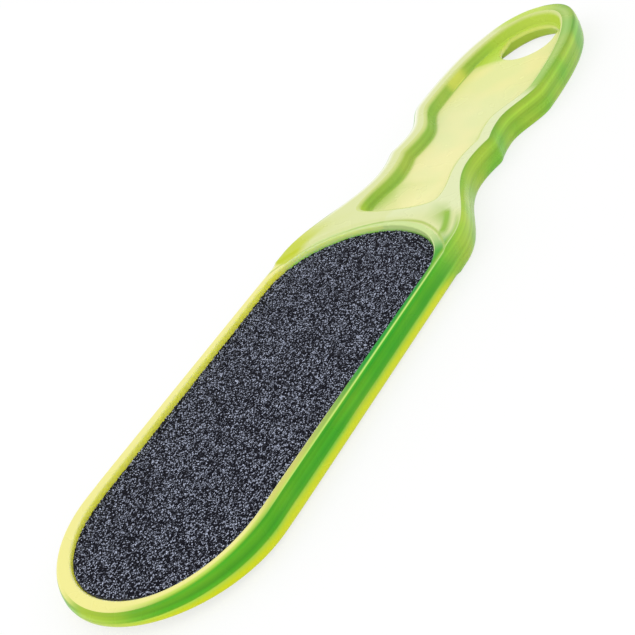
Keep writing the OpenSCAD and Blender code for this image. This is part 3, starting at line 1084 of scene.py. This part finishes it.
def add_ramp(nodes, stops):
    """New colour ramp through stops, each a place and a linear colour."""
    made = nodes.new("ShaderNodeValToRGB")
    spots = made.color_ramp.elements
    for spot, (place, shade) in ((spots[0], stops[0]), (spots[1], stops[-1])):
        spot.position = place
        spot.color = (*shade, 1)
    for place, shade in stops[1:-1]:
        spots.new(place).color = (*shade, 1)
    return made


def wire(links, *wires):
    """Links sockets, each wire as node, output, node, input."""
    for source, out, target, into in wires:
        links.new(source.outputs[out], target.inputs[into])


def lime_plastic():
    """Glossy lime plastic in the colours of the mesh, painted light and shade among them, with
    soft clouds and fine streaks.
    """
    made, nodes, links, shader = material("lime_plastic")
    fill_inputs(shader, {
        "IOR": PLASTIC_IOR,
        "Specular IOR Level": PLASTIC_GLOSS,
        "Transmission Weight": PLASTIC_CLEARNESS,
        "Subsurface Radius": PIPED_RADIUS,
        "Subsurface Scale": PIPED_DEPTH * MM,
    })
    tint_with_painted_light = add_node(nodes, "Attribute", attribute_name="tint_with_painted_light")
    piped = add_node(nodes, "Attribute", attribute_name="piped")
    uneven = add_node(nodes, "Attribute", attribute_name="uneven")
    place = nodes.new("ShaderNodeTexCoord")
    clouds = add_node(nodes, "TexNoise", {"Scale": CLOUD_SCALE, "Detail": CLOUD_DETAIL})
    cloud_tint = add_ramp(nodes, CLOUD_STOPS)
    clouded = add_node(nodes, "Mix", data_type="RGBA", blend_type="MULTIPLY")
    flow = add_node(nodes, "Mapping", {"Scale": STREAK_SCALES})
    streaks = add_node(nodes, "TexNoise", {"Scale": 1, "Detail": STREAK_DETAIL})
    streak_range = {"To Min": -STREAK_DEPTH, "To Max": STREAK_DEPTH}
    streak_depth = add_node(nodes, "MapRange", streak_range)
    depth_here = add_node(nodes, "Math", {2: 1}, operation="MULTIPLY_ADD")
    streaked = add_node(nodes, "VectorMath", operation="SCALE")
    haze = add_node(nodes, "TexNoise", {"Scale": HAZE_SCALE, "Detail": HAZE_DETAIL})
    least, most = PLASTIC_ROUGHNESS
    spread = add_node(nodes, "MapRange", {"To Min": least, "To Max": most})
    absorbed = {"Color": (*DEPTH_COLOUR, 1), "Density": DEPTH_DENSITY}
    depth = add_node(nodes, "VolumeAbsorption", absorbed)
    wire(
        links,
        (place, "Object", clouds, "Vector"),
        (clouds, "Fac", cloud_tint, "Fac"),
        (uneven, "Fac", clouded, MIX_SHARE),
        (tint_with_painted_light, "Color", clouded, MIX_ONE),
        (cloud_tint, "Color", clouded, MIX_OTHER),
        (place, "Object", flow, "Vector"),
        (flow, "Vector", streaks, "Vector"),
        (streaks, "Fac", streak_depth, "Value"),
        (streak_depth, "Result", depth_here, 0),
        (uneven, "Fac", depth_here, 1),
        (clouded, MIX_OUT, streaked, "Vector"),
        (depth_here, "Value", streaked, "Scale"),
        (streaked, "Vector", shader, "Base Color"),
        (piped, "Fac", shader, "Subsurface Weight"),
        (place, "Object", haze, "Vector"),
        (haze, "Fac", spread, "Value"),
        (spread, "Result", shader, "Roughness"),
        (depth, "Volume", nodes["Material Output"], "Volume"),
    )
    return made


def grit_coat(name, cell):
    """Dark abrasive with grey blue glints."""
    made, nodes, links, shader = material(name)
    fill_inputs(shader, {"Roughness": GRIT_ROUGHNESS, "Specular IOR Level": GRIT_GLOSS})
    place = nodes.new("ShaderNodeTexCoord")
    cells = add_node(nodes, "TexVoronoi", {"Scale": 1 / (cell * MM)})
    bright = nodes.new("ShaderNodeSeparateColor")
    glints = add_ramp(nodes, GRIT_STOPS)
    wire(
        links,
        (place, "Object", cells, "Vector"),
        (cells, "Color", bright, "Color"),
        (bright, "Red", glints, "Fac"),
        (glints, "Color", shader, "Base Color"),
    )
    return made


def sheet_material(name, shade, fibre):
    """Matt sheet with a fine uneven surface."""
    made, nodes, links, shader = material(name)
    fill_inputs(shader, {"Roughness": SHEET_ROUGHNESS})
    place = nodes.new("ShaderNodeTexCoord")
    noise = add_node(nodes, "TexNoise", {"Scale": 1 / (fibre * MM)})
    darker = [c * SHEET_DARKER for c in shade]
    lighter = [min(1, c * SHEET_LIGHTER) for c in shade]
    fibres = add_ramp(nodes, [(0, darker), (1, lighter)])
    relief = {"Strength": SHEET_BUMP, "Distance": SHEET_BUMP_HEIGHT * MM}
    bump = add_node(nodes, "Bump", relief)
    wire(
        links,
        (place, "Object", noise, "Vector"),
        (noise, "Fac", fibres, "Fac"),
        (fibres, "Color", shader, "Base Color"),
        (noise, "Fac", bump, "Height"),
        (bump, "Normal", shader, "Normal"),
    )
    return made


# Scene
FLOOR_SIZE = 6
FLOOR_COLOUR = (0.96, 0.96, 0.96)
FLOOR_ROUGHNESS = 0.9
FLOOR_WHITENESS = 0.75
WHITE = (1, 1, 1, 1)
KEY_PLACE = (-0.5, 0.6, 0.9)
KEY_SIZE = (0.9, 0.6)
KEY_POWER = 1.4
CAMERA_PLACE = (-236.49, -234.25, 171.97)
CAMERA_TURN = (58.651, 26.677, -57.387)
FOCAL_PX = 1461.26
IMAGE_PX = 635
SENSOR = 36
CLIP_START = 0.01


def show_white(nodes, links, shader):
    """Shows white to rays through the plastic or off its gloss, and nearly so to the camera."""
    path = nodes.new("ShaderNodeLightPath")
    seen = add_node(nodes, "Math", {1: FLOOR_WHITENESS}, operation="MULTIPLY")
    either = add_node(nodes, "Math", operation="ADD", use_clamp=True)
    any_ray = add_node(nodes, "Math", operation="ADD", use_clamp=True)
    white = add_node(nodes, "Emission", {"Color": WHITE, "Strength": 1})
    mix = nodes.new("ShaderNodeMixShader")
    wire(
        links,
        (path, "Is Glossy Ray", either, 0),
        (path, "Is Transmission Ray", either, 1),
        (path, "Is Camera Ray", seen, 0),
        (seen, "Value", any_ray, 0),
        (either, "Value", any_ray, 1),
        (any_ray, "Value", mix, "Fac"),
        (shader, "BSDF", mix, 1),
        (white, "Emission", mix, 2),
        (mix, "Shader", nodes["Material Output"], "Surface"),
    )


def dress(obj, made):
    """Gives an object one material."""
    obj.data.materials.clear()
    obj.data.materials.append(made)


def dress_node(name, made):
    """Gives a CAD node a finish in its object's own slots."""
    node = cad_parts[name]
    for slot in node.material_slots:
        slot.link = "OBJECT"
        slot.material = made


body = build_body()
dress(body, lime_plastic())
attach(body, "root")
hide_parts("body")

front_grit = build_grit("front_grains", grit_low, grit_high, GRAIN, 1, FRONT_SEED)
dress(front_grit, grit_coat("coarse_grit", GRIT_CELL))
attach(front_grit, "root")
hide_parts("front_grit")

rear_grit = build_grit("rear_grains", rear_grit_low, rear_grit_high, FINE_GRAIN, -1, REAR_SEED)
dress(rear_grit, grit_coat("fine_grit", FINE_GRIT_CELL))
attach(rear_grit, "root")
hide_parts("rear_grit")

for node in ("front_adhesive", "rear_adhesive"):
    dress_node(node, sheet_material("adhesive_film", ADHESIVE_COLOUR, ADHESIVE_FIBRE))
for node in ("front_backing", "rear_backing"):
    dress_node(node, sheet_material("backing_paper", BACKING_COLOUR, BACKING_FIBRE))

# Floor, light and camera
bpy.ops.mesh.primitive_plane_add(size=FLOOR_SIZE, location=(0, 0, cad_low.z))
floor = bpy.context.object
floor.name = "floor"
floor_material, floor_nodes, floor_links, floor_shader = material("floor_paper")
fill_inputs(floor_shader, {"Base Color": (*FLOOR_COLOUR, 1), "Roughness": FLOOR_ROUGHNESS})
show_white(floor_nodes, floor_links, floor_shader)
dress(floor, floor_material)

world = bpy.data.worlds.new("studio")
bpy.context.scene.world = world
world.use_nodes = True
fill_inputs(world.node_tree.nodes["Background"], {"Color": WHITE, "Strength": 1})


def soft_light(name, place, size, power):
    """Area lamp that shines at the middle of the object."""
    lamp = bpy.data.lights.new(name, "AREA")
    lamp.shape = "RECTANGLE"
    lamp.size, lamp.size_y = size
    lamp.energy = power
    made = bpy.data.objects.new(name, lamp)
    bpy.context.collection.objects.link(made)
    made.location = place
    made.rotation_euler = (-Vector(place)).to_track_quat("-Z", "Y").to_euler()


soft_light("key", KEY_PLACE, KEY_SIZE, KEY_POWER)

camera_data = bpy.data.cameras.new("camera")
camera = bpy.data.objects.new("camera", camera_data)
bpy.context.collection.objects.link(camera)
camera.location = Vector(CAMERA_PLACE) * MM
camera.rotation_euler = Euler([math.radians(a) for a in CAMERA_TURN], "XYZ")
camera_data.sensor_width = SENSOR
camera_data.lens = FOCAL_PX / IMAGE_PX * SENSOR
camera_data.clip_start = CLIP_START
bpy.context.scene.camera = camera
bpy.context.scene.view_settings.view_transform = "Standard"
